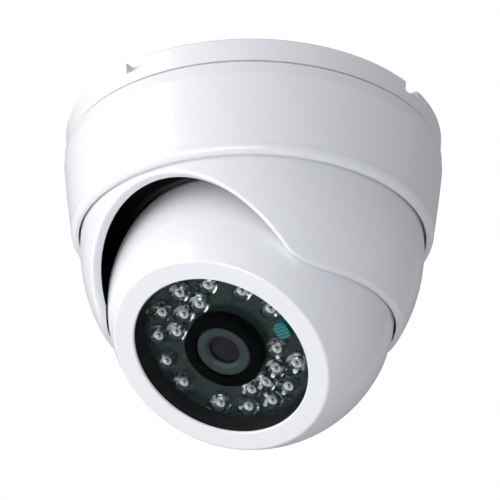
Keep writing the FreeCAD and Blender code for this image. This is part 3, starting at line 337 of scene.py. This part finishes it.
class Form:
    """A mesh that is gathered from turned and swept shapes, in millimetres in the eyeball's frame."""

    def __init__(self):
        self.points = []
        self.faces = []

    def turned(self, centre, profile, sides=TURNED_SIDES):
        """Turn a profile of (radius, height) pairs about the line through centre."""
        start = len(self.points)
        for radius, height in profile:
            for index in range(sides):
                angle = 2 * math.pi * index / sides
                self.points.append((centre[0] + radius * math.cos(angle),
                                    centre[1] + radius * math.sin(angle), centre[2] + height))
        for row in range(len(profile) - 1):
            for index in range(sides):
                after = (index + 1) % sides
                low, high = start + row * sides, start + (row + 1) * sides
                self.faces.append((low + index, low + after, high + after, high + index))
        last = start + (len(profile) - 1) * sides
        self.faces.append(tuple(start + index for index in reversed(range(sides))))
        self.faces.append(tuple(last + index for index in range(sides)))

    def block(self, centre, size, turn):
        """Box that stands on centre, turned about the optical axis."""
        start = len(self.points)
        cos, sin = math.cos(turn), math.sin(turn)
        for z in (0.0, size[2]):
            for x, y in ((-0.5, -0.5), (0.5, -0.5), (0.5, 0.5), (-0.5, 0.5)):
                along, across = x * size[0], y * size[1]
                self.points.append((centre[0] + along * cos - across * sin,
                                    centre[1] + along * sin + across * cos, centre[2] + z))
        for face in ((3, 2, 1, 0), (4, 5, 6, 7), (0, 1, 5, 4), (1, 2, 6, 5), (2, 3, 7, 6), (3, 0, 4, 7)):
            self.faces.append(tuple(start + corner for corner in face))

    def wire(self, path, radius, sides=WIRE_SIDES):
        """Round wire along a path of points, open at both ends."""
        start = len(self.points)
        for index, point in enumerate(path):
            ahead = path[min(index + 1, len(path) - 1)] - path[max(index - 1, 0)]
            side = ahead.cross(Vector((0, 0, 1))).normalized()
            up = side.cross(ahead).normalized()
            for step in range(sides):
                angle = 2 * math.pi * step / sides
                self.points.append(tuple(point + radius * (math.cos(angle) * side + math.sin(angle) * up)))
        for row in range(len(path) - 1):
            for step in range(sides):
                after = (step + 1) % sides
                low, high = start + row * sides, start + (row + 1) * sides
                self.faces.append((low + step, low + after, high + after, high + step))

    def make(self, name, material):
        """Put the mesh in the part's frame and let it ride on the eyeball."""
        mesh = bpy.data.meshes.new(name)
        mesh.from_pydata(self.points, [], self.faces)
        mesh.transform(EYE @ Matrix.Scale(MM, 4))
        work = bmesh.new()
        work.from_mesh(mesh)
        bmesh.ops.recalc_face_normals(work, faces=work.faces)
        for edge in work.edges:
            edge.smooth = len(edge.link_faces) == 2 and edge.calc_face_angle(0.0) < SMOOTH_ANGLE
        for face in work.faces:
            face.smooth = True
        work.to_mesh(mesh)
        work.free()
        mesh.materials.append(material)
        piece = bpy.data.objects.new(name, mesh)
        bpy.context.scene.collection.objects.link(piece)
        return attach(piece, "eyeball")


def led_feet():
    """Middle of each LED's foot, in millimetres in the eyeball's frame, from the CAD's separate LEDs."""
    work = bmesh.new()
    work.from_mesh(NODES["ir_leds"].data)
    work.transform(Matrix.Scale(1 / MM, 4) @ TO_EYE @ NODES["ir_leds"].matrix_world)
    bmesh.ops.remove_doubles(work, verts=work.verts, dist=0.001)
    feet = []
    waiting = set(work.verts)
    while waiting:
        group = []
        reached = [waiting.pop()]
        while reached:
            vert = reached.pop()
            group.append(vert.co)
            for edge in vert.link_edges:
                other = edge.other_vert(vert)
                if other in waiting:
                    waiting.remove(other)
                    reached.append(other)
        low = [min(point[axis] for point in group) for axis in range(3)]
        high = [max(point[axis] for point in group) for axis in range(3)]
        feet.append(Vector(((low[0] + high[0]) / 2, (low[1] + high[1]) / 2, low[2])))
    work.free()
    return sorted(feet, key=lambda foot: (round(foot.x, 2), round(foot.y, 2)))


def make_led_insides(materials):
    """Reflector cup, chip, post and bond wire inside the resin of each LED."""
    frames, dies, wires = Form(), Form(), Form()
    for foot in led_feet():
        turn = math.atan2(foot.y, foot.x) + math.pi / 2
        along = Vector((math.cos(turn), math.sin(turn), 0))
        frames.turned(foot, [(CUP_STEM_RADIUS, BOARD_GAP), (CUP_STEM_RADIUS, CUP_STEM_TOP),
                             (CUP_OUTER_RADIUS, CUP_FOOT), (CUP_OUTER_RADIUS, CUP_TOP),
                             (CUP_RIM_RADIUS, CUP_TOP), (CUP_FLOOR_RADIUS, CUP_FLOOR)])
        post = foot - LEAD_OFFSET * along
        frames.turned(post, [(POST_RADIUS, BOARD_GAP), (POST_RADIUS, POST_TOP)], sides=POST_SIDES)
        die = foot + Vector((0, 0, CUP_FLOOR))
        dies.block(die, (DIE_WIDTH, DIE_WIDTH, DIE_HEIGHT), turn)
        begin = post + Vector((0, 0, POST_TOP))
        end = die + Vector((0, 0, DIE_HEIGHT))
        path = []
        for step in range(BOND_WIRE_STEPS + 1):
            share = step / BOND_WIRE_STEPS
            arch = BOND_WIRE_RISE * math.sin(math.pi * share)
            path.append(begin.lerp(end, share) + Vector((0, 0, arch)))
        wires.wire(path, BOND_WIRE_RADIUS)
    for form, name, material, slot in ((frames, "led_lead_frames", "led_silver", "steel"),
                                       (dies, "led_dies", "chip_black", "chip_black"),
                                       (wires, "led_bond_wires", "brass", "brass")):
        form.make(name, materials[material])


# ---------------------------------------------------------------- stage

def look(obj, place, target, roll=0.0):
    """Put obj at place and turn its -Z towards target."""
    turn = (target - place).to_track_quat("-Z", "Y").to_matrix().to_4x4()
    obj.matrix_world = Matrix.Translation(place) @ turn @ Matrix.Rotation(roll, 4, "Z")


def direction(azimuth, elevation):
    """Unit vector towards a place at azimuth, turned from -Y towards +X, and elevation."""
    level = math.cos(elevation)
    return Vector((level * math.sin(azimuth), -level * math.cos(azimuth), math.sin(elevation)))


def make_camera():
    data = bpy.data.cameras.new("camera")
    data.lens = CAMERA_LENS
    data.sensor_width = SENSOR_WIDTH
    data.clip_start = CLIP_START
    camera = bpy.data.objects.new("camera", data)
    bpy.context.scene.collection.objects.link(camera)
    place = CAMERA_TARGET + CAMERA_DISTANCE * direction(CAMERA_AZIMUTH, CAMERA_ELEVATION)
    look(camera, place, CAMERA_TARGET, CAMERA_ROLL)
    bpy.context.scene.camera = camera


def area_light(name, azimuth, elevation, distance, size, power, colour=(1.0, 1.0, 1.0)):
    """Soft light that faces the object.

    Angles are in degrees, with azimuth counted to the right of the camera's, and lengths in metres.
    """
    data = bpy.data.lights.new(name, "AREA")
    data.shape = "RECTANGLE"
    data.size, data.size_y = size
    data.energy = power
    data.color = colour
    light = bpy.data.objects.new(name, data)
    bpy.context.scene.collection.objects.link(light)
    towards = direction(CAMERA_AZIMUTH + math.radians(azimuth), math.radians(elevation))
    look(light, CAMERA_TARGET + distance * towards, CAMERA_TARGET)


def make_lights():
    area_light("key_left", azimuth=-72, elevation=0, distance=0.9, size=(0.9, 0.9), power=6.9,
               colour=(1.0, 0.99, 0.97))
    area_light("front_fill", azimuth=-20, elevation=-38, distance=1.1, size=(0.8, 0.6), power=7.4,
               colour=(0.94, 0.96, 1.0))
    area_light("rim_right", azimuth=140, elevation=-5, distance=0.9, size=(0.2, 0.9), power=0.1)


def make_world():
    """Pale studio surround: plain white to the eye, softer as a lamp."""
    world = bpy.data.worlds.new("studio")
    world.use_nodes = True
    bpy.context.scene.world = world
    tree = world.node_tree
    tree.nodes.clear()
    output = tree.nodes.new("ShaderNodeOutputWorld")
    seen = tree.nodes.new("ShaderNodeBackground")
    seen.inputs["Color"].default_value = grey(1.0)
    seen.inputs["Strength"].default_value = 1.0
    lamp = tree.nodes.new("ShaderNodeBackground")
    lamp.inputs["Color"].default_value = (0.93, 0.95, 1.0, 1.0)
    place = tree.nodes.new("ShaderNodeTexCoord")
    height = tree.nodes.new("ShaderNodeSeparateXYZ")
    strength = tree.nodes.new("ShaderNodeMapRange")
    tree.links.new(place.outputs["Generated"], height.inputs[0])
    tree.links.new(height.outputs["Z"], strength.inputs["Value"])
    strength.inputs["From Min"].default_value = -1.0
    strength.inputs["To Min"].default_value = LAMP_BELOW
    strength.inputs["To Max"].default_value = LAMP_ABOVE
    tree.links.new(strength.outputs["Result"], lamp.inputs["Strength"])
    rays = tree.nodes.new("ShaderNodeLightPath")
    mix = tree.nodes.new("ShaderNodeMixShader")
    tree.links.new(rays.outputs["Is Camera Ray"], mix.inputs[0])
    tree.links.new(lamp.outputs[0], mix.inputs[1])
    tree.links.new(seen.outputs[0], mix.inputs[2])
    tree.links.new(mix.outputs[0], output.inputs[0])


def make_floor():
    mesh = bpy.data.meshes.new("floor")
    half = FLOOR_SIZE / 2
    corners = [(-half, -half, FLOOR_Z), (half, -half, FLOOR_Z), (half, half, FLOOR_Z), (-half, half, FLOOR_Z)]
    mesh.from_pydata(corners, [], [(0, 1, 2, 3)])
    floor = bpy.data.objects.new("floor", mesh)
    bpy.context.scene.collection.objects.link(floor)
    shader = Shader("floor_pale")
    surface = shader.add("BsdfPrincipled", Base_Color=grey(FLOOR_GREY), Roughness=0.8)
    mesh.materials.append(shader.finish(surface))


# ---------------------------------------------------------------- making

make_camera()
make_lights()
make_world()
make_floor()
materials = make_materials()
dress_nodes(materials)
make_led_insides(materials)
bpy.context.scene.view_settings.view_transform = "Standard"
